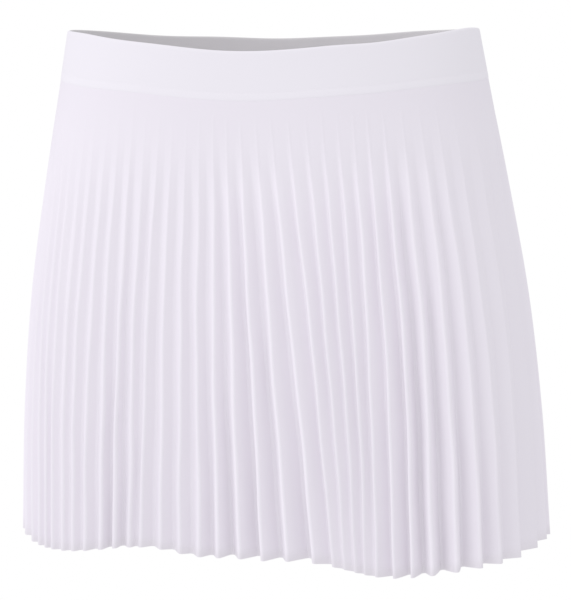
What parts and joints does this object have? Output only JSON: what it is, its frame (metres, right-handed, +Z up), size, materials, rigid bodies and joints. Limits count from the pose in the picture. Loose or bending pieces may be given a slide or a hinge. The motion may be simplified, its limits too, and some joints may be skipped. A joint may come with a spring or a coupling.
{
  "type": "tennis skirt",
  "caption": "Short white tennis skirt held open as when worn: a plain deep waistband over fine sunray pleats that spread towards the hem.",
  "frame": {"origin": "middle of the waist, halfway down the waistband, where the wearer holds the skirt up", "axes": "+Z up along the wearer's body; the wearer's front faces -Y and the wearer's left is +X"},
  "size_m": [0.3945, 0.252, 0.3991],
  "materials": {
    "band_cloth": "matt white knit, folded double over elastic",
    "pleated_cloth": "matt white woven cloth with a faint cool cast, heat-set pleats"
  },
  "bodies": {
    "root": {"waistband_front": "band_cloth", "waistband_back": "band_cloth", "pleated_front": "pleated_cloth", "pleated_back": "pleated_cloth"}
  },
  "joints": []
}
